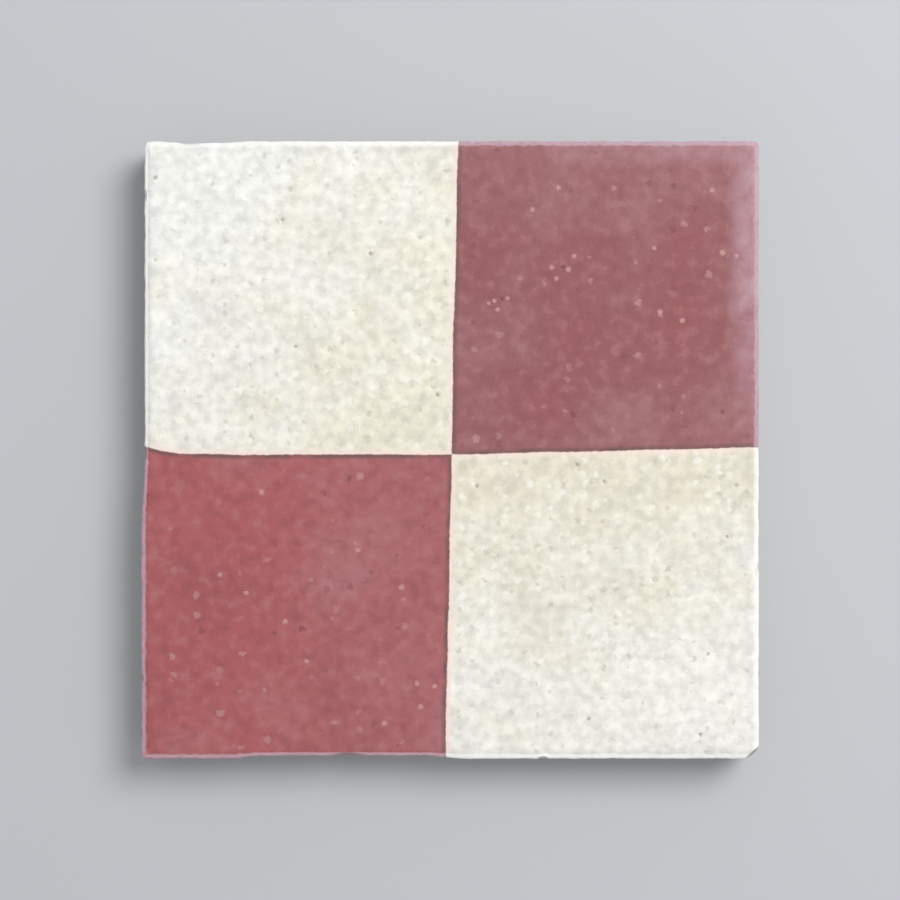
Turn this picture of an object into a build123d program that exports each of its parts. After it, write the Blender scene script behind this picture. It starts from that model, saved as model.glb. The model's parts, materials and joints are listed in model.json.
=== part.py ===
"""Square two-colour cement floor tile, pressed as one piece.

The tile lies face up on its back. The origin is the centre of the back, +Z is out of the face,
and with +Y pointing away the cream quarters of the face are the back left and the front right one.
All sizes are millimetres.
"""

import math
import os

from build123d import *
from build123d.topology import SkipClean

# Overall size: the nominal square is measured across the face, the widest part of the tile.
FACE_SIDE = 200.0
THICKNESS = 20.0

# The press frame opens a little towards the face, so the four sides lean in towards the back.
SIDE_DRAFT_ANGLE = 2.5

# Corner wear seen from above, one radius for each corner.
BACK_LEFT_CORNER = 3.0
BACK_RIGHT_CORNER = 2.2
FRONT_LEFT_CORNER = 2.4
FRONT_RIGHT_CORNER = 2.6

# The arris round the face is worn round, and the one round the back was struck off at an angle.
FACE_ARRIS_RADIUS = 1.2
BACK_ARRIS_CHAMFER = 1.0

# The press plate leaves a shallow sunk panel in the back, which keys into the bedding mortar.
PANEL_MARGIN = 24.0
PANEL_DEPTH = 1.0
PANEL_CORNER = 10.0
PANEL_WALL_ANGLE = 45.0

# The coloured cement of the face, and where its dividing lines run on the face: the point where
# they cross, and how far each line's outer end lies off the tile's middle, to the right or away.
COLOUR_DEPTH = 4.0
CROSSING_RIGHT = 0.5
CROSSING_AWAY = -1.5
BACK_LINE_RIGHT = 2.5
FRONT_LINE_RIGHT = -1.4
LEFT_LINE_AWAY = -1.3
RIGHT_LINE_AWAY = 0.9

# The broken corner, front right: how far the break runs along each edge from the corner.
BREAK_ALONG_FRONT = 5.6
BREAK_ALONG_RIGHT = 4.8
BREAK_DOWN = 11.0
BREAK_HALF_CHORD = 20.0

# Chips along the face's edges: distance from the edge's middle, length, reach into the face, drop.
# Distances count to the right on the back and front edges, and away on the left and right edges.
BACK_EDGE_CHIPS = [(-84.0, 11.0, 1.7, 2.4), (8.0, 5.0, 1.4, 1.8), (62.0, 7.0, 1.5, 2.0)]
FRONT_EDGE_CHIPS = [(-33.0, 12.0, 2.0, 3.0), (30.0, 4.5, 1.4, 2.2)]
LEFT_EDGE_CHIPS = [(82.0, 5.0, 1.4, 2.0), (-1.0, 6.0, 1.5, 2.2), (-74.0, 4.0, 1.3, 1.6)]
RIGHT_EDGE_CHIPS = [(44.0, 5.0, 1.4, 1.8), (-38.0, 4.0, 1.3, 2.0)]

DOWN = Vector(0, 0, -1)

# Rounding the arris of a leaning side takes a little off its width, which the outline adds again.
lean = math.radians(SIDE_DRAFT_ANGLE)
sharp_side = FACE_SIDE + 2 * FACE_ARRIS_RADIUS * (math.tan(lean) + 1 / math.cos(lean) - 1)
half_side = FACE_SIDE / 2


def corner_edge(block, right, away):
    """The edge down the block's corner on the given side: right and away are each 1 or -1."""
    return block.edges().sort_by(lambda edge: edge.center().dot(Vector(right, away, 0)))[-1]


def pressed_block():
    """The block as it leaves the press frame, with its four corners and both arrises worn."""
    block = extrude(Rectangle(sharp_side, sharp_side), amount=THICKNESS)
    sides = block.faces().filter_by(Axis.Z, reverse=True)
    block = draft(sides, Plane.XY.offset(THICKNESS), -SIDE_DRAFT_ANGLE)
    corner_wear = {
        (-1, 1): BACK_LEFT_CORNER,
        (1, 1): BACK_RIGHT_CORNER,
        (-1, -1): FRONT_LEFT_CORNER,
        (1, -1): FRONT_RIGHT_CORNER,
    }
    for (right, away), radius in corner_wear.items():
        block = fillet(corner_edge(block, right, away), radius)
    block = chamfer(block.faces().sort_by(Axis.Z)[0].edges(), BACK_ARRIS_CHAMFER)
    return fillet(block.faces().sort_by(Axis.Z)[-1].edges(), FACE_ARRIS_RADIUS)


def press_panel():
    """The shallow sunk panel of the back, wider at its mouth than at its floor."""
    mouth_side = FACE_SIDE - 2 * PANEL_MARGIN
    mouth = RectangleRounded(mouth_side, mouth_side, PANEL_CORNER)
    return extrude(mouth, amount=PANEL_DEPTH, taper=PANEL_WALL_ANGLE)


def shell_bite(point, reaches, half_chord):
    """A ball that bites a shell-shaped chip out at a point on an arris.

    reaches holds (direction, distance) pairs: the bite ends at that distance from the point along
    each direction. Along the arris itself it ends half a chord to each side.
    """
    offset = Vector(0, 0, 0)
    for direction, distance in reaches:
        offset += direction * ((distance**2 - half_chord**2) / (2 * distance))
    radius = math.hypot(half_chord, offset.length)
    return Pos(point + offset) * Sphere(radius)


def broken_corner():
    """The piece that has broken off the front right corner."""
    corner = Vector(half_side, -half_side, THICKNESS)
    reaches = [
        (Vector(-1, 0, 0), BREAK_ALONG_FRONT),
        (Vector(0, 1, 0), BREAK_ALONG_RIGHT),
        (DOWN, BREAK_DOWN),
    ]
    return shell_bite(corner, reaches, BREAK_HALF_CHORD)


def edge_chips(chips, inward, along):
    """The chips of one edge of the face, which lies against the inward direction."""
    middle = Vector(0, 0, THICKNESS) - inward * half_side
    return [
        shell_bite(middle + along * place, [(inward, reach), (DOWN, drop)], length / 2)
        for place, length, reach, drop in chips
    ]


def worn_tile():
    """The pressed block less its back panel, its broken corner and its chips."""
    right, away = Vector(1, 0, 0), Vector(0, 1, 0)
    bites = [
        broken_corner(),
        *edge_chips(BACK_EDGE_CHIPS, inward=-away, along=right),
        *edge_chips(FRONT_EDGE_CHIPS, inward=away, along=right),
        *edge_chips(LEFT_EDGE_CHIPS, inward=right, along=away),
        *edge_chips(RIGHT_EDGE_CHIPS, inward=-right, along=away),
    ]
    return pressed_block() - press_panel() - bites


def colour_quarters(blank):
    """The four quarters of the coloured cement, cut out of the blank along the dividing lines."""
    line_ends = [
        (BACK_LINE_RIGHT, half_side),
        (-half_side, LEFT_LINE_AWAY),
        (FRONT_LINE_RIGHT, -half_side),
        (half_side, RIGHT_LINE_AWAY),
    ]
    crossing = Vector(CROSSING_RIGHT, CROSSING_AWAY)
    quarters = []
    for first, second in zip(line_ends, line_ends[1:] + line_ends[:1]):
        first_far = crossing + (Vector(*first) - crossing) * 2
        second_far = crossing + (Vector(*second) - crossing) * 2
        outer = first_far + second_far - crossing
        field = make_face(Polyline(crossing, first_far, outer, second_far, close=True))
        quarters.append(blank & extrude(Pos(0, 0, THICKNESS) * field, amount=COLOUR_DEPTH, dir=DOWN))
    return quarters


def tile():
    """The whole tile as one solid, with the outlines of its coloured quarters left on its skin."""
    blank = worn_tile()
    quarters = colour_quarters(blank)
    mortar = blank - quarters
    with SkipClean():
        return mortar.fuse(*quarters)


os.makedirs("parts", exist_ok=True)
export_step(tile(), "parts/tile.step")
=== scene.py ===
"""Dresses the two-colour cement floor tile: its worn outline, its mortar body and its pigmented face.

Lengths are metres, and millimetres where a name ends in MM or mm. +Y points away, +Z out of the face.
"""

import functools
import json
import math

import bpy
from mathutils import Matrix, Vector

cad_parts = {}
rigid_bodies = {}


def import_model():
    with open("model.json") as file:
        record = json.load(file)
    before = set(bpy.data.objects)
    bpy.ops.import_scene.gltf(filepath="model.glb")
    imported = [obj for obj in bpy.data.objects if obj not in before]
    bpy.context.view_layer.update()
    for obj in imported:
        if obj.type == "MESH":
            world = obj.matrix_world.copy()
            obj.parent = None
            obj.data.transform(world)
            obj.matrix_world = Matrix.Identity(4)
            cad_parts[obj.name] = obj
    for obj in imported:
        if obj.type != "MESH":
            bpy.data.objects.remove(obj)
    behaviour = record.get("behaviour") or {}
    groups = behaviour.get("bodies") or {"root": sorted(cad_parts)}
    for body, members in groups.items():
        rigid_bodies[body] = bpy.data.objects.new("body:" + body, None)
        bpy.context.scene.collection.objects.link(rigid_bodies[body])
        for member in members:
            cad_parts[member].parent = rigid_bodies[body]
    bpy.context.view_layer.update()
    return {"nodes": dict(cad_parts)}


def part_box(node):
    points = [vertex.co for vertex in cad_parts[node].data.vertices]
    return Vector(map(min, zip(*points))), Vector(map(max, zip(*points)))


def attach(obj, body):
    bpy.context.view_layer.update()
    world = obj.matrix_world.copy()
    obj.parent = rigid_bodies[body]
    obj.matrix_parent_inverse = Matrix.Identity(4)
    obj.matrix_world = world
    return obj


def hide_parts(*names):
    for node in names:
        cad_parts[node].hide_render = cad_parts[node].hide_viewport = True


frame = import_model()

MM = 0.001

# The solid's own sizes.
solid = frame["nodes"]["tile"]
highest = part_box("tile")[1]
half_side = highest.x
thickness = highest.z
HALF_SIDE_MM = half_side / MM
THICKNESS_MM = thickness / MM

# The mesh: squares across the face and across the back, and the rims walked between them.
FACE_SQUARES = 200
BACK_SQUARES = 100
FACE_GRID_HALF = 97.0 * MM
BACK_GRID_HALF = 95.0 * MM
FACE_RIM_STEPS = 4
ARRIS_RADIUS = 1.2 * MM
ARRIS_STEPS = 6
SIDE_STEPS = 18
SIDE_DRAFT = 0.78 * MM
BACK_CHAMFER = 1.0 * MM
STAND_OFF = 0.05 * MM

# Where the mesh is cut finer: in the chips, which lie above a height and away from the square block, and
# round the small spots.
CHIP_CUTS = 1
CHIP_LOWEST = 2 * MM
CHIP_GAP = 4 * STAND_OFF
SPOT_CUTS = 2
# How often the mesh of the chips and of their rims is evened out.
EVENING_ROUNDS = 2

# The coloured cement: how deep it reaches, where the dividing lines cross, and where they end.
COLOUR_DEPTH_MM = 4.0
CROSSING_RIGHT_MM = 0.5
CROSSING_AWAY_MM = -1.5
BACK_LINE_RIGHT_MM = 2.5
FRONT_LINE_RIGHT_MM = -1.4
LEFT_LINE_AWAY_MM = -1.3
RIGHT_LINE_AWAY_MM = 0.9
# The left line curls away near its outer end: where it starts to, and how fast it rises.
CURL_START_MM = 82.0
CURL_RISE = 0.009
# How far away the middle of the far red quarter's reddest band lies.
FAR_RED_CENTRE_MM = 42.0

# Small pits in the face: place to the right and away, and radius.
PITS_MM = [
    (41.0, -4.8, 1.2),
    (41.4, -6.4, 0.8),
    (49.6, -10.3, 1.3),
    (8.6, -11.7, 1.2),
    (92.3, -11.4, 1.1),
    (89.3, -28.0, 1.2),
    (83.2, -65.8, 1.0),
    (80.7, -91.8, 1.1),
    (44.6, -86.7, 1.0),
    (-54.2, 74.1, 1.3),
    (-25.7, 63.3, 1.3),
    (-49.9, 33.4, 1.2),
    (-95.0, 87.8, 1.1),
    (-95.2, 61.2, 0.9),
    (-4.0, 17.9, 1.2),
    (36.4, 58.9, 1.0),
    (16.6, 48.6, 0.9),
]

# Pale grains of sand that show at the surface of the red cement: place and radius.
GRAINS_MM = [
    (-9.5, -82.7, 1.4),
    (-10.6, -75.2, 1.3),
    (-5.0, -76.2, 1.2),
    (-21.1, -88.1, 1.4),
    (-15.6, -44.2, 1.4),
    (-53.1, -55.3, 1.4),
    (-46.3, -68.0, 1.2),
    (-65.7, -46.0, 1.3),
    (-74.1, -40.2, 1.2),
    (-60.7, -13.6, 1.4),
    (-29.7, -32.3, 1.2),
    (87.9, 63.6, 1.6),
    (92.4, 62.6, 1.2),
    (84.6, 83.8, 1.3),
    (65.9, 65.1, 1.2),
    (74.9, 41.7, 1.4),
    (67.7, 44.6, 1.3),
    (26.6, 77.4, 1.2),
    (34.9, 84.6, 1.2),
    (32.8, 58.9, 1.3),
    (38.2, 58.2, 1.4),
    (34.2, 55.3, 1.2),
    (40.0, 62.5, 1.1),
    (14.3, 48.1, 1.2),
    (18.6, 48.9, 1.2),
    (15.4, 45.3, 1.1),
    (12.5, 47.4, 1.0),
]

# Stretches where the edge of the face has worn back: side, start and end along it, how long the wear
# takes to grow from each end, and how far it goes back. The left one runs on past the corner.
WORN_STRETCHES_MM = [
    ("left", -26.0, 150.0, 24.0, 1.1),
    ("front", -72.0, 4.0, 12.0, 0.9),
    ("back", -96.0, -64.0, 10.0, 0.5),
]

# How far the wear and the roughness go in, and the size of their grain.
TREAD_WEAR = 0.3 * MM
TREAD_GRAIN = 45 * MM
NIBBLE_DEPTH = 0.45 * MM
NIBBLE_GRAIN = 6 * MM
CRUMBLE_DEPTH = 0.25 * MM
CRUMBLE_GRAIN = 2.2 * MM
FRACTURE_DEPTH = 0.25 * MM
FRACTURE_GRAIN = 2.2 * MM
MORTAR_DEPTH = 0.35 * MM
MORTAR_GRAIN = 2.4 * MM
PIT_DEPTH = 0.45 * MM

# Over which distances the wear fades out, down from the face or in from its edge.
TREAD_FADE_DOWN = (1.5 * MM, 10.0 * MM)
ARRIS_FADE_DOWN = (1.5 * MM, 4.5 * MM)
ARRIS_FADE_IN = (1.2 * MM, 3.0 * MM)
STRETCH_FADE_DOWN = (2.0 * MM, 9.0 * MM)
STRETCH_FADE_IN = (0.8 * MM, 4.0 * MM)
# Over which distances the mortar sets in down from the face, and a break up from the back and in from the
# square block.
MORTAR_RISE_DOWN = (1.5 * MM, 4.0 * MM)
BREAK_RISE_UP = (1.0 * MM, 3.0 * MM)
BREAK_RISE_IN = (0.15 * MM, 0.5 * MM)
# A fold at the rim of a chip: how far down from the face it may lie, and how far it points down.
FOLD_REACH = 5 * MM
FOLD_TILT = -0.25


def smooth_step(start, end, value):
    """Goes smoothly from 0 at start to 1 at end."""
    share = min(max((value - start) / (end - start), 0.0), 1.0)
    return share * share * (3 - 2 * share)


# The tile's mesh.


def tile_profile():
    """The (half width, height) points from the face's grid round the arris and down to the back."""
    points = []
    face_edge = half_side - ARRIS_RADIUS
    for step in range(1, FACE_RIM_STEPS + 1):
        share = step / FACE_RIM_STEPS
        points.append((FACE_GRID_HALF + (face_edge - FACE_GRID_HALF) * share, thickness + STAND_OFF))
    round_radius = ARRIS_RADIUS + STAND_OFF
    side_top = thickness - ARRIS_RADIUS
    for step in range(1, ARRIS_STEPS + 1):
        turn = math.pi / 2 * step / ARRIS_STEPS
        points.append((face_edge + round_radius * math.sin(turn), side_top + round_radius * math.cos(turn)))
    side_out = half_side + STAND_OFF
    for step in range(1, SIDE_STEPS + 1):
        share = step / SIDE_STEPS
        points.append((side_out - SIDE_DRAFT * share, side_top + (BACK_CHAMFER - side_top) * share))
    back_edge = side_out - SIDE_DRAFT - BACK_CHAMFER
    points.append((back_edge + BACK_CHAMFER / 2, BACK_CHAMFER / 2))
    points.append((back_edge, -STAND_OFF))
    return points


def select_open_rims():
    """Selects the open edges of the mesh in edit mode."""
    bpy.ops.mesh.select_mode(type="EDGE")
    bpy.ops.mesh.select_all(action="DESELECT")
    bpy.ops.mesh.select_non_manifold(
        use_wire=False, use_boundary=True, use_multi_face=False, use_non_contiguous=False, use_verts=False
    )


def square_block():
    """The tile as a closed mesh with square corners: a face grid, its rim walked down, and a back grid."""
    bpy.ops.object.select_all(action="DESELECT")
    bpy.ops.mesh.primitive_grid_add(
        x_subdivisions=FACE_SQUARES,
        y_subdivisions=FACE_SQUARES,
        size=2 * FACE_GRID_HALF,
        location=(0, 0, thickness + STAND_OFF),
    )
    block = bpy.context.object
    block.name = block.data.name = "cement_tile"
    bpy.ops.object.transform_apply(location=True, rotation=False, scale=False)
    bpy.ops.object.mode_set(mode="EDIT")
    select_open_rims()
    width, height = FACE_GRID_HALF, thickness + STAND_OFF
    for next_width, next_height in tile_profile():
        bpy.ops.mesh.extrude_region_move(TRANSFORM_OT_translate={"value": (0, 0, next_height - height)})
        grow = next_width / width
        bpy.ops.transform.resize(value=(grow, grow, 1))
        width, height = next_width, next_height
    bpy.ops.mesh.select_all(action="DESELECT")
    bpy.ops.mesh.primitive_grid_add(
        x_subdivisions=BACK_SQUARES,
        y_subdivisions=BACK_SQUARES,
        size=2 * BACK_GRID_HALF,
        location=(0, 0, -STAND_OFF),
    )
    bpy.ops.mesh.flip_normals()
    select_open_rims()
    bpy.ops.mesh.bridge_edge_loops()
    bpy.ops.mesh.select_all(action="SELECT")
    bpy.ops.mesh.normals_make_consistent(inside=False)
    bpy.ops.object.mode_set(mode="OBJECT")
    return block


def pick(piece, rule):
    """Selects the vertices that a rule picks, and those next to them, in edit mode."""
    bpy.ops.object.mode_set(mode="EDIT")
    bpy.ops.mesh.select_mode(type="VERT")
    bpy.ops.mesh.select_all(action="DESELECT")
    bpy.ops.object.mode_set(mode="OBJECT")
    for vertex in piece.data.vertices:
        vertex.select = rule(vertex)
    bpy.ops.object.mode_set(mode="EDIT")
    bpy.ops.mesh.select_more()


def refine(piece, cuts, rule):
    """Cuts the faces finer round the vertices that a rule picks."""
    pick(piece, rule)
    bpy.ops.mesh.subdivide(number_cuts=cuts)
    bpy.ops.object.mode_set(mode="OBJECT")


def iron_out(piece, rule):
    """Evens out the mesh round the vertices that a rule picks."""
    pick(piece, rule)
    bpy.ops.mesh.vertices_smooth(factor=0.5, repeat=5)
    bpy.ops.object.mode_set(mode="OBJECT")


def apply_modifier(piece, kind, **settings):
    """Adds a modifier with its settings and applies it."""
    modifier = piece.modifiers.new(kind.lower(), kind)
    for setting, value in settings.items():
        setattr(modifier, setting, value)
    bpy.context.view_layer.objects.active = piece
    bpy.ops.object.modifier_apply(modifier=modifier.name)


def weigh(piece, name, rule):
    """A vertex group whose weights come from a rule on each vertex."""
    group = piece.vertex_groups.new(name=name)
    for vertex in piece.data.vertices:
        weight = rule(vertex)
        if weight > 0:
            group.add([vertex.index], weight, "REPLACE")
    return group.name


def relief(name, grain, layers=2, contrast=1.0):
    """A cloudy relief with its grain size in metres, and finer layers of grain on it."""
    texture = bpy.data.textures.new(name, "CLOUDS")
    texture.noise_scale = grain
    texture.noise_depth = layers
    texture.noise_basis = "ORIGINAL_PERLIN"
    texture.contrast = contrast
    return texture


def sink(piece, group, depth, texture=None, direction="NORMAL"):
    """Moves the surface in by a depth, which a relief varies, along its normal or against an axis."""
    settings = {"texture": texture, "texture_coords": "LOCAL"} if texture else {}
    apply_modifier(
        piece,
        "DISPLACE",
        vertex_group=group,
        direction=direction,
        mid_level=0.0,
        strength=-depth,
        **settings,
    )


def keep_attribute(piece, name, rule):
    """Keeps one number for each vertex, from a rule on it, which the material reads by name."""
    attribute = piece.data.attributes.new(name, "FLOAT", "POINT")
    attribute.data.foreach_set("value", [rule(vertex) for vertex in piece.data.vertices])


# Rules on a vertex: where it lies, and how much of each kind of wear it takes.


def gap_to_solid(vertex):
    """How far a vertex of the square block stands off the solid."""
    return (solid.closest_point_on_mesh(vertex.co)[1] - vertex.co).length


def edge_gap(vertex):
    """How far a vertex lies in from the nearest edge of the face, seen from above."""
    return half_side - max(abs(vertex.co.x), abs(vertex.co.y))


def in_chip(vertex):
    """Whether a vertex of the square block stands over a chip or a worn corner."""
    return vertex.co.z > CHIP_LOWEST and gap_to_solid(vertex) > CHIP_GAP


def folded_over(vertex):
    """Whether the surface has folded over at the rim of a chip, and points down."""
    return vertex.co.z > thickness - FOLD_REACH and vertex.normal.z < FOLD_TILT


def spot_weight(vertex, spots):
    """1 at the middle of a small round spot of the face, 0 at its edge and beyond."""
    if vertex.co.z < thickness - ARRIS_RADIUS:
        return 0.0
    right, away = vertex.co.x / MM, vertex.co.y / MM
    near = [(math.hypot(right - x, away - y) / radius) for x, y, radius in spots if abs(right - x) < radius]
    return 1 - smooth_step(0.0, 1.0, min(near, default=1.0))


def on_break(vertex):
    """1 where the surface was broken away, 0 where the press left it."""
    above_back = smooth_step(*BREAK_RISE_UP, vertex.co.z)
    return above_back * smooth_step(*BREAK_RISE_IN, stand_off[vertex.index])


def on_top(vertex):
    """1 on the face, falling to 0 half way down the sides."""
    return 1 - smooth_step(*TREAD_FADE_DOWN, thickness - vertex.co.z)


def near_arris(vertex):
    """1 on the arris round the face, falling to 0 a little way in and down, and in the breaks."""
    inward = 1 - smooth_step(*ARRIS_FADE_IN, edge_gap(vertex))
    downward = 1 - smooth_step(*ARRIS_FADE_DOWN, thickness - vertex.co.z)
    return inward * downward * (1 - on_break(vertex))


def on_body(vertex):
    """1 on the mortar of the sides and the back, 0 on the face and in the breaks."""
    return smooth_step(*MORTAR_RISE_DOWN, thickness - vertex.co.z) * (1 - on_break(vertex))


def stretch_weight(vertex, side, start, end, run):
    """1 along a stretch of one edge of the face, falling to 0 at its ends, downwards and inwards."""
    along = vertex.co.y if side in ("left", "right") else vertex.co.x
    across = vertex.co.x if side in ("left", "right") else vertex.co.y
    outward = -across if side in ("left", "front") else across
    inward = 1 - smooth_step(*STRETCH_FADE_IN, half_side - outward)
    downward = 1 - smooth_step(*STRETCH_FADE_DOWN, thickness - vertex.co.z)
    run_in = smooth_step(start * MM, (start + run) * MM, along)
    run_out = 1 - smooth_step((end - run) * MM, end * MM, along)
    return inward * downward * run_in * run_out


tile = square_block()
refine(tile, CHIP_CUTS, in_chip)
refine(tile, SPOT_CUTS, lambda vertex: spot_weight(vertex, PITS_MM + GRAINS_MM) > 0)
stand_off = [gap_to_solid(vertex) for vertex in tile.data.vertices]

# The block is drawn on to the solid. In the chips its mesh is evened out and drawn on again.
break_group = weigh(tile, "break", on_break)
apply_modifier(tile, "SHRINKWRAP", target=solid)
for evening in range(EVENING_ROUNDS):
    apply_modifier(tile, "SMOOTH", vertex_group=break_group, factor=0.5, iterations=8)
    apply_modifier(tile, "SHRINKWRAP", target=solid)

keep_attribute(tile, "broken", on_break)
keep_attribute(tile, "pitted", lambda vertex: spot_weight(vertex, PITS_MM))
keep_attribute(tile, "sand_grain", lambda vertex: spot_weight(vertex, GRAINS_MM))
keep_attribute(tile, "from_edge_mm", lambda vertex: edge_gap(vertex) / MM)

# The wear and the roughness, all of it inwards.
tread = relief("tread wear", TREAD_GRAIN, layers=1)
sink(tile, weigh(tile, "top", on_top), TREAD_WEAR, tread, direction="Z")
arris_group = weigh(tile, "arris", near_arris)
sink(tile, arris_group, NIBBLE_DEPTH, relief("nibbled arris", NIBBLE_GRAIN, layers=3, contrast=1.4))
sink(tile, arris_group, CRUMBLE_DEPTH, relief("crumbled arris", CRUMBLE_GRAIN, contrast=1.4))
for side, start, end, run, reach in WORN_STRETCHES_MM:
    group = weigh(tile, side, lambda vertex: stretch_weight(vertex, side, start, end, run))
    outward = -1 if side in ("left", "front") else 1
    sink(tile, group, outward * reach * MM, direction="X" if side in ("left", "right") else "Y")
sink(tile, break_group, FRACTURE_DEPTH, relief("fracture", FRACTURE_GRAIN, layers=3))
apply_modifier(tile, "SMOOTH", vertex_group=break_group, factor=0.5, iterations=3)
grit = relief("sandy mortar", MORTAR_GRAIN, layers=3, contrast=1.3)
sink(tile, weigh(tile, "body", on_body), MORTAR_DEPTH, grit)
pit_group = weigh(tile, "pits", lambda vertex: spot_weight(vertex, PITS_MM))
sink(tile, pit_group, PIT_DEPTH, direction="Z")
for evening in range(EVENING_ROUNDS):
    iron_out(tile, folded_over)
bpy.ops.object.select_all(action="DESELECT")
tile.select_set(True)
bpy.ops.object.shade_smooth()
tile.vertex_groups.clear()


# Materials. A pattern's scale is 1 over the size of its grain in millimetres.


def linear(hex_code):
    """An sRGB hex colour as the linear colour that a shader takes."""
    channels = [int(hex_code[place : place + 2], 16) / 255 for place in (0, 2, 4)]
    values = [c / 12.92 if c <= 0.04045 else ((c + 0.055) / 1.055) ** 2.4 for c in channels]
    return (*values, 1.0)


def add(tree, kind, inputs, output=None, **settings):
    """Adds one node with its settings and links, and gives one of its outputs."""
    node = tree.nodes.new("ShaderNode" + kind)
    for setting, value in settings.items():
        setattr(node, setting, value)
    sockets = [socket for socket in node.inputs if socket.enabled]
    for place, value in inputs.items():
        socket = sockets[place] if isinstance(place, int) else next(s for s in sockets if s.name == place)
        if isinstance(value, bpy.types.NodeSocket):
            tree.links.new(value, socket)
        else:
            socket.default_value = value
    return node.outputs[output] if output else next((s for s in node.outputs if s.enabled), None)


# Settings that many nodes share: a smooth rise from 0 to 1, and a mix of two colours.
SMOOTH = {"interpolation_type": "SMOOTHSTEP"}
PAINT = {"data_type": "RGBA"}
# The whole range of a noise, and the range that it is nearly always in.
WHOLE = {"From Min": 0.0, "From Max": 1.0}
USUAL = {"From Min": 0.25, "From Max": 0.75}


def strewn(put, place_mm, offset_mm, cell_mm, share, largest_mm, soft_mm):
    """A mask of small soft marks, a share of one to each cell and none larger than a radius."""
    soft = soft_mm / cell_mm
    moved = put("VectorMath", {0: place_mm, 1: (offset_mm, offset_mm, 0.0)}, operation="ADD")
    cells = {"Vector": moved, "Scale": 1 / cell_mm}
    middle_gap = put("TexVoronoi", cells, "Distance", voronoi_dimensions="2D")
    chance = put("SeparateColor", {"Color": middle_gap.node.outputs["Color"]}, "Red")
    sizes = {"From Min": 1 - share, "From Max": 1.0, "To Min": -soft, "To Max": largest_mm / cell_mm}
    radius = put("MapRange", {"Value": chance, **sizes})
    inside = put("Math", {0: radius, 1: middle_gap}, operation="SUBTRACT")
    return put("MapRange", {"Value": inside, "From Min": -soft, "From Max": soft}, **SMOOTH)


def cream_cement(put, place_mm, ruffled_mm, is_right, bleed):
    """White cement with marble dust: near white, warmer towards the middle of the tile, whiter towards its
    edges with a painted bluish-white reflection of the sky, crumbly. Gives its pores too.
    """
    # Each quarter is warm near the middle of the tile and cooler towards its outer side, in blotches: the
    # cooler, whiter side is a painted reflection of the sky.
    far_left = put("VectorMath", {0: place_mm, 1: (-0.85, 0.6, 0.0)}, "Value", operation="DOT_PRODUCT")
    near_right = put("VectorMath", {0: place_mm, 1: (0.3, -1.05, 0.0)}, "Value", operation="DOT_PRODUCT")
    reach = put("Mix", {"Factor": is_right, "A": far_left, "B": near_right}, data_type="FLOAT")
    blotch = put("TexNoise", {"Vector": place_mm, "Scale": 1 / 20, "Detail": 2.0})
    shift = put("MapRange", {"Value": blotch, **USUAL, "To Min": -38.0, "To Max": 38.0})
    reach = put("Math", {0: reach, 1: shift}, operation="ADD")
    painted_cool_sheen = put("MapRange", {"Value": reach, "From Min": 10.0, "From Max": 125.0}, **SMOOTH)
    warm_cream = put("Mix", {"Factor": is_right, "A": linear("E9E5D1"), "B": linear("E6E0CC")}, **PAINT)
    cool_sheen_cream = put("Mix", {"Factor": is_right, "A": linear("F3F2EC"), "B": linear("F0EEE6")}, **PAINT)
    colour = put("Mix", {"Factor": painted_cool_sheen, "A": warm_cream, "B": cool_sheen_cream}, **PAINT)

    curd = put("TexNoise", {"Vector": ruffled_mm, "Scale": 1 / 3.2, "Detail": 1.0, "Roughness": 0.4})
    tone = put("MapRange", {"Value": curd, **WHOLE, "To Min": 0.73, "To Max": 1.27})
    patch = put("TexNoise", {"Vector": place_mm, "Scale": 1 / 17, "Detail": 3.0})
    patch = put("MapRange", {"Value": patch, **WHOLE, "To Min": 0.88, "To Max": 1.12})
    tone = put("Math", {0: tone, 1: patch}, operation="MULTIPLY")
    colour = put("VectorMath", {0: colour, "Scale": tone}, operation="SCALE")

    marble = strewn(put, ruffled_mm, offset_mm=0.0, cell_mm=3.6, share=0.6, largest_mm=1.2, soft_mm=0.5)
    marble = put("Math", {0: marble, 1: 0.55}, operation="MULTIPLY")
    colour = put("Mix", {"Factor": marble, "A": colour, "B": linear("FDFBF3")}, **PAINT)
    pores = strewn(put, ruffled_mm, offset_mm=50.0, cell_mm=4.2, share=0.5, largest_mm=0.9, soft_mm=0.45)
    shaded = put("Math", {0: pores, 1: 0.45}, operation="MULTIPLY")
    colour = put("Mix", {"Factor": shaded, "A": colour, "B": linear("BDB8A9")}, **PAINT)
    colour = put("Mix", {"Factor": bleed, "A": colour, "B": linear("FBE2D8")}, **PAINT)
    return colour, pores


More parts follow.
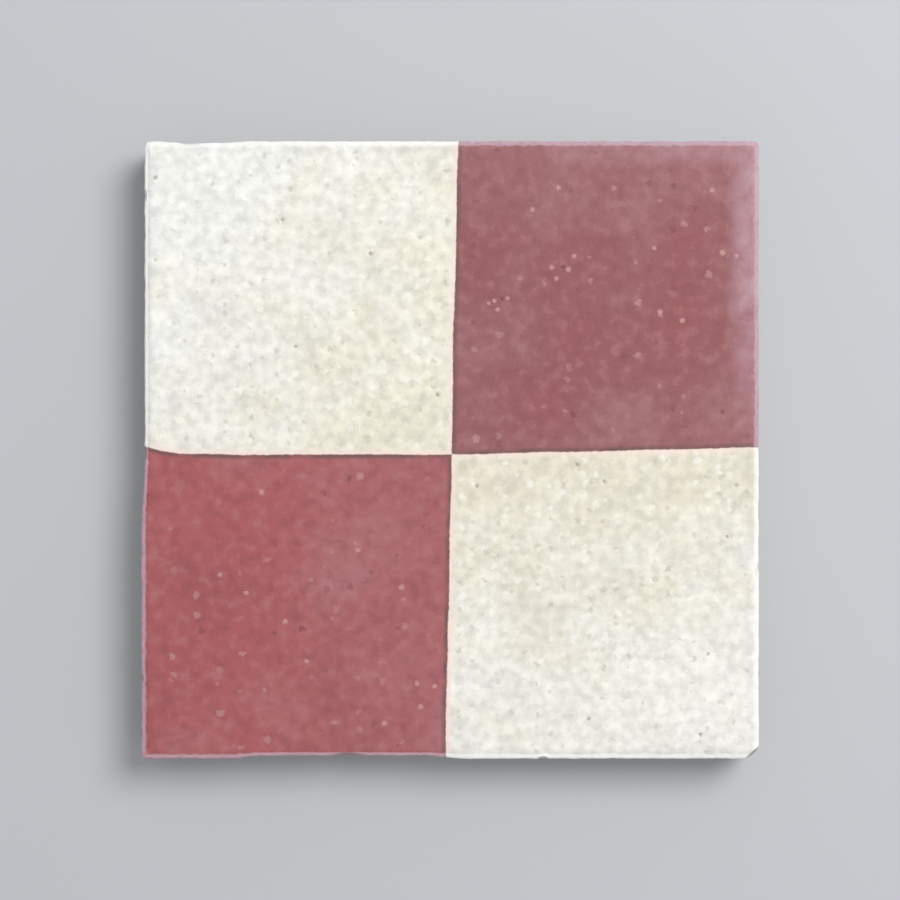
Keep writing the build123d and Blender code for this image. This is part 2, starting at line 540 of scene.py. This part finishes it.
def red_cement(put, place_mm, ruffled_mm, is_right, soil):
    """Cement with iron oxide: a soft cloudy red, flecked, with grains of sand. Gives its pores too."""
    right = put("SeparateXYZ", {0: place_mm}, "X")
    away = right.node.outputs["Y"]
    # The left quarter is greyer towards the middle of the tile, the far one towards its near and far sides.
    greyer = put("MapRange", {"Value": right, "From Min": -70.0, "From Max": -15.0}, **SMOOTH)
    left = put("Mix", {"Factor": greyer, "A": linear("AD5A5D"), "B": linear("AB6366")}, **PAINT)
    off_centre = put("Math", {0: away, 1: FAR_RED_CENTRE_MM}, operation="SUBTRACT")
    off_centre = put("Math", {0: off_centre}, operation="ABSOLUTE")
    greyer = put("MapRange", {"Value": off_centre, "From Min": 15.0, "From Max": 50.0}, **SMOOTH)
    far = put("Mix", {"Factor": greyer, "A": linear("965A5C"), "B": linear("996163")}, **PAINT)
    colour = put("Mix", {"Factor": is_right, "A": left, "B": far}, **PAINT)

    cloud = put("TexNoise", {"Vector": place_mm, "Scale": 1 / 26, "Detail": 3.0, "Roughness": 0.55})
    faded = put("MapRange", {"Value": cloud, "From Min": 0.47, "From Max": 0.75, "To Max": 0.32}, **SMOOTH)
    colour = put("Mix", {"Factor": faded, "A": colour, "B": linear("AE8284")}, **PAINT)
    deep = put("MapRange", {"Value": cloud, "From Min": 0.52, "From Max": 0.27, "To Max": 0.5}, **SMOOTH)
    colour = put("Mix", {"Factor": deep, "A": colour, "B": linear("9A5256")}, **PAINT)

    fine = put("TexNoise", {"Vector": ruffled_mm, "Scale": 1 / 3.8, "Detail": 1.0, "Roughness": 0.5})
    pale = put("MapRange", {"Value": fine, "From Min": 0.48, "From Max": 0.78, "To Max": 0.32}, **SMOOTH)
    colour = put("Mix", {"Factor": pale, "A": colour, "B": linear("B88485")}, **PAINT)
    dark = put("MapRange", {"Value": fine, "From Min": 0.52, "From Max": 0.24, "To Max": 0.38}, **SMOOTH)
    colour = put("Mix", {"Factor": dark, "A": colour, "B": linear("864C4F")}, **PAINT)

    busy = put("TexNoise", {"Vector": place_mm, "Scale": 1 / 18, "Detail": 1.0})
    amount = {"From Min": 0.3, "From Max": 0.65, "To Min": 0.15, "To Max": 0.6}
    busy = put("MapRange", {"Value": busy, **amount})
    sand = strewn(put, ruffled_mm, offset_mm=0.0, cell_mm=7.5, share=0.4, largest_mm=1.3, soft_mm=0.4)
    sand = put("Math", {0: sand, 1: busy}, operation="MULTIPLY")
    colour = put("Mix", {"Factor": sand, "A": colour, "B": linear("C39593")}, **PAINT)
    # The pores are small dents; their dark red is painted shade.
    pores = strewn(put, ruffled_mm, offset_mm=50.0, cell_mm=8.0, share=0.4, largest_mm=1.1, soft_mm=0.4)
    pores = put("Math", {0: pores, 1: busy}, operation="MULTIPLY")
    colour = put("Mix", {"Factor": pores, "A": colour, "B": linear("744346")}, **PAINT)
    colour = put("Mix", {"Factor": soil, "A": colour, "B": linear("735250")}, **PAINT)
    return colour, pores


def mortar(put, place_mm, ruffled_mm):
    """Pressed sand and cement: a plain warm grey with sand of several tones."""
    cloud = put("TexNoise", {"Vector": place_mm, "Scale": 1 / 11, "Detail": 4.0, "Roughness": 0.6})
    colour = put("Mix", {"Factor": cloud, "A": linear("9C9589"), "B": linear("BCB5A8")}, **PAINT)
    tone = put("TexNoise", {"Vector": place_mm, "Scale": 1 / 1.1, "Detail": 2.0})
    tone = put("MapRange", {"Value": tone, **WHOLE, "To Min": 0.75, "To Max": 1.25})
    colour = put("VectorMath", {0: colour, "Scale": tone}, operation="SCALE")
    light = strewn(put, ruffled_mm, offset_mm=0.0, cell_mm=1.5, share=0.8, largest_mm=0.7, soft_mm=0.14)
    light = put("Math", {0: light, 1: 0.35}, operation="MULTIPLY")
    colour = put("Mix", {"Factor": light, "A": colour, "B": linear("DCD6CA")}, **PAINT)
    dark = strewn(put, ruffled_mm, offset_mm=50.0, cell_mm=1.8, share=0.7, largest_mm=0.65, soft_mm=0.14)
    dark = put("Math", {0: dark, 1: 0.4}, operation="MULTIPLY")
    return put("Mix", {"Factor": dark, "A": colour, "B": linear("7C756B")}, **PAINT)


def divider_gap(put, along, across, crossing_along, crossing_across, far_end, near_end):
    """How far a place lies past a dividing line, which turns a little where the lines cross."""
    past = put("Math", {0: along, 1: crossing_along}, operation="SUBTRACT")
    gap = put("Math", {0: across, 1: crossing_across}, operation="SUBTRACT")
    for end, limit, half in ((far_end, HALF_SIDE_MM, "MAXIMUM"), (near_end, -HALF_SIDE_MM, "MINIMUM")):
        lean = (end - crossing_across) / (limit - crossing_along)
        run = put("Math", {0: past, 1: 0.0}, operation=half)
        gap = put("Math", {0: run, 1: -lean, 2: gap}, operation="MULTIPLY_ADD")
    return gap


def divider_gaps(put, place_mm, right, away):
    """How far a place lies past the two dividing lines, unsteady as the thin metal divider left them."""
    waver = put("TexNoise", {"Vector": place_mm, "Scale": 1 / 24, "Detail": 1.0})
    waver = put("MapRange", {"Value": waver, **WHOLE, "To Min": -0.6, "To Max": 0.6})
    ragged = put("TexNoise", {"Vector": place_mm, "Scale": 1 / 2.0, "Detail": 4.0, "Roughness": 0.6})
    ragged = put("MapRange", {"Value": ragged, **WHOLE, "To Min": -0.35, "To Max": 0.35})
    unsteady = put("Math", {0: waver, 1: ragged}, operation="ADD")
    right_gap = divider_gap(
        put, away, right, CROSSING_AWAY_MM, CROSSING_RIGHT_MM, BACK_LINE_RIGHT_MM, FRONT_LINE_RIGHT_MM
    )
    right_gap = put("Math", {0: right_gap, 1: unsteady}, operation="ADD")
    away_gap = divider_gap(
        put, right, away, CROSSING_RIGHT_MM, CROSSING_AWAY_MM, RIGHT_LINE_AWAY_MM, LEFT_LINE_AWAY_MM
    )
    away_gap = put("Math", {0: away_gap, 1: unsteady}, operation="ADD")
    past_bend = put("Math", {0: -CURL_START_MM, 1: right}, operation="SUBTRACT")
    past_bend = put("Math", {0: past_bend, 1: 0.0}, operation="MAXIMUM")
    curl = put("Math", {0: past_bend, 1: 2.0}, operation="POWER")
    away_gap = put("Math", {0: curl, 1: -CURL_RISE, 2: away_gap}, operation="MULTIPLY_ADD")
    return right_gap, away_gap


def line_stains(put, place_mm, aslant_mm, right_gap, away_gap):
    """Beside the dividing lines: how much red has run into the cream, and how much dirt the red holds."""
    right_off = put("Math", {0: right_gap}, operation="ABSOLUTE")
    away_off = put("Math", {0: away_gap}, operation="ABSOLUTE")
    off_line = put("Math", {0: right_off, 1: away_off}, operation="MINIMUM")
    bleed = put("MapRange", {"Value": off_line, "From Min": 2.4, "From Max": 0.4}, **SMOOTH)
    fitful = put("TexNoise", {"Vector": place_mm, "Scale": 1 / 5.0, "Detail": 2.0})
    amount = {"From Min": 0.3, "From Max": 0.65, "To Min": 0.35, "To Max": 1.0}
    fitful = put("MapRange", {"Value": fitful, **amount})
    bleed = put("Math", {0: bleed, 1: fitful}, operation="MULTIPLY")
    soil = put("MapRange", {"Value": off_line, "From Min": 2.0, "From Max": 0.5}, **SMOOTH)
    gathered = put("TexNoise", {"Vector": aslant_mm, "Scale": 1 / 7.0, "Detail": 3.0})
    amount = {"From Min": 0.3, "From Max": 0.6, "To Min": 0.4, "To Max": 0.95}
    gathered = put("MapRange", {"Value": gathered, **amount})
    soil = put("Math", {0: soil, 1: gathered}, operation="MULTIPLY")
    return bleed, soil


def pits_and_grains(put, place_mm, cream, red):
    """The two cements with the crumbly pits in them, darkened with painted shade, and the single grains of
    sand in the red.
    """
    crumbly = put("TexNoise", {"Vector": place_mm, "Scale": 1 / 0.8, "Detail": 2.0})
    crumbly = put("MapRange", {"Value": crumbly, **WHOLE, "To Min": -0.9, "To Max": 0.9})
    # The pits are sunk into the face and darkened with painted shade.
    pit_shade = put("Attribute", {}, "Fac", attribute_name="pitted")
    pit_shade = put("Math", {0: pit_shade, 1: crumbly}, operation="ADD")
    pit_shade = put("MapRange", {"Value": pit_shade, "From Min": 0.2, "From Max": 0.9, "To Max": 0.6}, **SMOOTH)
    cream = put("Mix", {"Factor": pit_shade, "A": cream, "B": linear("968B78")}, **PAINT)
    red = put("Mix", {"Factor": pit_shade, "A": red, "B": linear("6E4143")}, **PAINT)
    grain = put("Attribute", {}, "Fac", attribute_name="sand_grain")
    grain = put("Math", {0: crumbly, 1: 0.5, 2: grain}, operation="MULTIPLY_ADD")
    grain = put("MapRange", {"Value": grain, "From Min": 0.05, "From Max": 0.7, "To Max": 0.7}, **SMOOTH)
    red = put("Mix", {"Factor": grain, "A": red, "B": linear("CC9B98")}, **PAINT)
    return cream, red


def arris_wear_and_highlight(put, place_mm, up):
    """How far the arris and the chips are made pale, by wear and by a painted highlight, and how much
    darker a band just inside the arris is made.
    """
    edge = put("Attribute", {}, "Fac", attribute_name="from_edge_mm")
    uneven = put("TexNoise", {"Vector": place_mm, "Scale": 1 / 2.2, "Detail": 3.0})
    uneven = put("MapRange", {"Value": uneven, **USUAL, "To Min": -0.45, "To Max": 0.45})
    edge = put("Math", {0: edge, 1: uneven}, operation="ADD")
    # The rim is made pale, partly by wear and partly as a painted highlight.
    rubbed_and_highlit = put("MapRange", {"Value": edge, "From Min": 2.3, "From Max": 1.4, "To Max": 0.9}, **SMOOTH)
    broken = put("Attribute", {}, "Fac", attribute_name="broken")
    rubbed_and_highlit = put("Math", {0: rubbed_and_highlit, 1: broken}, operation="MAXIMUM")
    heights = {"From Min": THICKNESS_MM - 3.0, "From Max": THICKNESS_MM - 1.5}
    on_arris = put("MapRange", {"Value": up, **heights}, **SMOOTH)
    rubbed_and_highlit = put("Math", {0: rubbed_and_highlit, 1: on_arris}, operation="MULTIPLY")
    fitful = put("Math", {0: uneven, 1: 0.5, 2: 0.75}, operation="MULTIPLY_ADD")
    rubbed_and_highlit = put("Math", {0: rubbed_and_highlit, 1: fitful}, operation="MULTIPLY")
    # A band about 2 to 5 mm in from the edge is made a little darker.
    inner = put("MapRange", {"Value": edge, "From Min": 1.8, "From Max": 2.6}, **SMOOTH)
    outer = put("MapRange", {"Value": edge, "From Min": 5.5, "From Max": 3.2, "To Max": 0.09}, **SMOOTH)
    inner_band_darkening = put("Math", {0: inner, 1: outer}, operation="MULTIPLY")
    return rubbed_and_highlit, inner_band_darkening


def painted_mauve_sheen(put, place_mm, right, away):
    """How strongly a patchy painted reflection of the sky, a mauve sheen, lies along the outer edges of the
    back right quarter.
    """
    right_edge = put("Math", {0: HALF_SIDE_MM, 1: right}, operation="SUBTRACT")
    right_band = put("MapRange", {"Value": right_edge, "From Min": 12.0, "From Max": 4.0}, **SMOOTH)
    upper = put("MapRange", {"Value": away, "From Min": -5.0, "From Max": 55.0, "To Min": 0.15}, **SMOOTH)
    right_band = put("Math", {0: right_band, 1: upper}, operation="MULTIPLY")
    back_edge = put("Math", {0: HALF_SIDE_MM, 1: away}, operation="SUBTRACT")
    back_band = put("MapRange", {"Value": back_edge, "From Min": 10.0, "From Max": 4.5}, **SMOOTH)
    amount = {"From Min": 20.0, "From Max": 80.0, "To Min": 0.1, "To Max": 0.55}
    rightmost = put("MapRange", {"Value": right, **amount}, **SMOOTH)
    back_band = put("Math", {0: back_band, 1: rightmost}, operation="MULTIPLY")
    painted_sheen = put("Math", {0: right_band, 1: back_band}, operation="MAXIMUM")
    patchy = put("TexNoise", {"Vector": place_mm, "Scale": 1 / 7.0, "Detail": 4.0, "Roughness": 0.6})
    amount = {"From Min": 0.3, "From Max": 0.65, "To Min": 0.25, "To Max": 0.85}
    patchy = put("MapRange", {"Value": patchy, **amount})
    return put("Math", {0: painted_sheen, 1: patchy}, operation="MULTIPLY")


def laid_on_mortar(put, place_mm, up, face, body):
    """The coloured cement over the mortar: it ends unevenly on the sides, where mortar is smeared on it."""
    ebb = put("TexNoise", {"Vector": place_mm, "Scale": 1 / 6.0, "Detail": 4.0, "Roughness": 0.6})
    ebb = put("MapRange", {"Value": ebb, **USUAL, "To Min": -1.2, "To Max": 1.2})
    height = put("Math", {0: up, 1: ebb}, operation="ADD")
    layer_end = THICKNESS_MM - COLOUR_DEPTH_MM
    heights = {"From Min": layer_end - 0.5, "From Max": layer_end + 0.5}
    coloured = put("MapRange", {"Value": height, **heights}, **SMOOTH)
    smear = put("TexNoise", {"Vector": place_mm, "Scale": 1 / 3.5, "Detail": 3.0})
    amount = {"From Min": 0.4, "From Max": 0.64, "To Min": 0.2, "To Max": 0.75}
    smear = put("MapRange", {"Value": smear, **amount})
    heights = {"From Min": THICKNESS_MM - 1.0, "From Max": THICKNESS_MM - 2.4}
    below = put("MapRange", {"Value": up, **heights}, **SMOOTH)
    smear = put("Math", {0: smear, 1: below}, operation="MULTIPLY")
    face = put("Mix", {"Factor": smear, "A": face, "B": body}, **PAINT)
    return put("Mix", {"Factor": coloured, "A": body, "B": face}, **PAINT)


def pressed_cement():
    """Pigmented cement pressed on mortar: matt and fine-grained on the face, sandy and grey below it."""
    material = bpy.data.materials.new("pressed_pigmented_cement")
    material.use_nodes = True
    tree = material.node_tree
    tree.nodes.clear()
    put = functools.partial(add, tree)

    place = put("TexCoord", {}, "Object")
    place_mm = put("VectorMath", {0: place, "Scale": 1 / MM}, operation="SCALE")
    right = put("SeparateXYZ", {0: place_mm}, "X")
    away = right.node.outputs["Y"]
    up = right.node.outputs["Z"]

    # The quarters meet at the dividing lines, red behind on the right and in front on the left.
    right_gap, away_gap = divider_gaps(put, place_mm, right, away)
    is_right = put("MapRange", {"Value": right_gap, "From Min": -0.25, "From Max": 0.25}, **SMOOTH)
    is_away = put("MapRange", {"Value": away_gap, "From Min": -0.25, "From Max": 0.25}, **SMOOTH)
    is_near = put("Math", {0: 1.0, 1: is_away}, operation="SUBTRACT")
    is_red = put("Mix", {"Factor": is_right, "A": is_near, "B": is_away}, data_type="FLOAT")

    # Marks are laid on the place as seen aslant, so that they run on down the sides. Grains and pores are
    # strewn over a place that is moved a little this way and that.
    slant = put("Math", {0: up, 1: 0.7}, operation="MULTIPLY")
    slant = put("CombineXYZ", {"X": slant, "Y": slant})
    aslant_mm = put("VectorMath", {0: place_mm, 1: slant}, operation="ADD")
    ruffle = put("TexNoise", {"Vector": place_mm, "Scale": 1 / 1.3, "Detail": 1.0}, "Color")
    ruffle = put("VectorMath", {0: ruffle, 1: (0.5, 0.5, 0.5)}, operation="SUBTRACT")
    ruffled_mm = put("VectorMath", {0: ruffle, 1: (2.2, 2.2, 2.2), 2: aslant_mm}, operation="MULTIPLY_ADD")

    bleed, soil = line_stains(put, place_mm, aslant_mm, right_gap, away_gap)
    cream, cream_pores = cream_cement(put, place_mm, ruffled_mm, is_right, bleed)
    red, red_pores = red_cement(put, place_mm, ruffled_mm, is_right, soil)
    pores = put("Mix", {"Factor": is_red, "A": cream_pores, "B": red_pores}, data_type="FLOAT")
    cream, red = pits_and_grains(put, place_mm, cream, red)

    rubbed_and_highlit, inner_band_darkening = arris_wear_and_highlight(put, place_mm, up)
    # The cream is made a little darker in a band just inside the arris.
    cream = put("Mix", {"Factor": inner_band_darkening, "A": cream, "B": linear("8A877F")}, **PAINT)
    # The arris and the chips are made pale, partly by wear and partly as a painted highlight; on the red
    # the pale is a painted mauve reflection of the sky.
    cream = put("Mix", {"Factor": rubbed_and_highlit, "A": cream, "B": linear("FDFDFB")}, **PAINT)
    # A painted reflection of the sky: a patchy mauve sheen on the red along its outer edges.
    painted_sheen = painted_mauve_sheen(put, place_mm, right, away)
    red = put("Mix", {"Factor": painted_sheen, "A": red, "B": linear("BF9AA4")}, **PAINT)
    red = put("Mix", {"Factor": rubbed_and_highlit, "A": red, "B": linear("CBAFBA")}, **PAINT)
    face = put("Mix", {"Factor": is_red, "A": cream, "B": red}, **PAINT)
    body = mortar(put, place_mm, ruffled_mm)
    colour = laid_on_mortar(put, place_mm, up, face, body)

    # The surface has a fine tooth, coarser where it is rubbed, and the pores are small dents in it.
    tooth = put("TexNoise", {"Vector": place_mm, "Scale": 1 / 0.9, "Detail": 3.0, "Roughness": 0.65})
    coarse = put("Math", {0: rubbed_and_highlit, 1: 2.0, 2: 1.0}, operation="MULTIPLY_ADD")
    height = put("Math", {0: tooth, 1: coarse}, operation="MULTIPLY")
    height = put("Math", {0: pores, 1: -0.8, 2: height}, operation="MULTIPLY_ADD")
    bump = put("Bump", {"Height": height, "Strength": 0.4, "Distance": 0.2 * MM})
    amount = {"From Min": 0.3, "From Max": 0.7, "To Min": 0.62, "To Max": 0.82}
    roughness = put("MapRange", {"Value": tooth, **amount})
    shader = put("BsdfPrincipled", {"Base Color": colour, "Roughness": roughness, "Normal": bump})
    put("OutputMaterial", {"Surface": shader})
    return material


tile.data.materials.append(pressed_cement())
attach(tile, "root")
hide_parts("tile")


# The studio: a pale matt floor, an even fill, and one large soft lamp from behind on the right.
FLOOR_SIZE = 8.0
FLOOR_GAP = 0.05 * MM
FLOOR_COLOUR = "C6C8CB"
FLOOR_ROUGHNESS = 0.85
FILL_COLOUR = "FBFCFF"
FILL_STRENGTH = 0.5
LAMP_PLACE = (0.7, 0.6, 1.3)
LAMP_SIZE = 0.9
LAMP_WATTS = 17

# The camera looks straight down at the face.
FRAME_WIDTH = 290 * MM
LENS_MM = 85.0
SENSOR_MM = 36.0


def plain_paint(name, hex_code, roughness):
    """A plain matt paint."""
    material = bpy.data.materials.new(name)
    material.use_nodes = True
    shader = material.node_tree.nodes["Principled BSDF"]
    shader.inputs["Base Color"].default_value = linear(hex_code)
    shader.inputs["Roughness"].default_value = roughness
    return material


bpy.ops.mesh.primitive_plane_add(size=FLOOR_SIZE, location=(0, 0, -FLOOR_GAP))
floor = bpy.context.object
floor.name = "studio_floor"
floor.data.materials.append(plain_paint("matt_pale_paint", FLOOR_COLOUR, FLOOR_ROUGHNESS))

world = bpy.data.worlds.new("studio_fill")
world.use_nodes = True
fill = world.node_tree.nodes["Background"]
fill.inputs["Color"].default_value = linear(FILL_COLOUR)
fill.inputs["Strength"].default_value = FILL_STRENGTH
bpy.context.scene.world = world

bpy.ops.object.light_add(type="AREA", location=LAMP_PLACE)
lamp = bpy.context.object
lamp.data.shape = "DISK"
lamp.data.size = LAMP_SIZE
lamp.data.energy = LAMP_WATTS
lamp.rotation_euler = (-lamp.location).to_track_quat("-Z", "Y").to_euler()

camera_data = bpy.data.cameras.new("photo_camera")
camera_data.lens = LENS_MM
camera_data.sensor_width = SENSOR_MM
camera = bpy.data.objects.new("photo_camera", camera_data)
camera.location = (0, 0, thickness + FRAME_WIDTH * LENS_MM / SENSOR_MM)
bpy.context.collection.objects.link(camera)
bpy.context.scene.camera = camera
bpy.context.scene.view_settings.view_transform = "Standard"
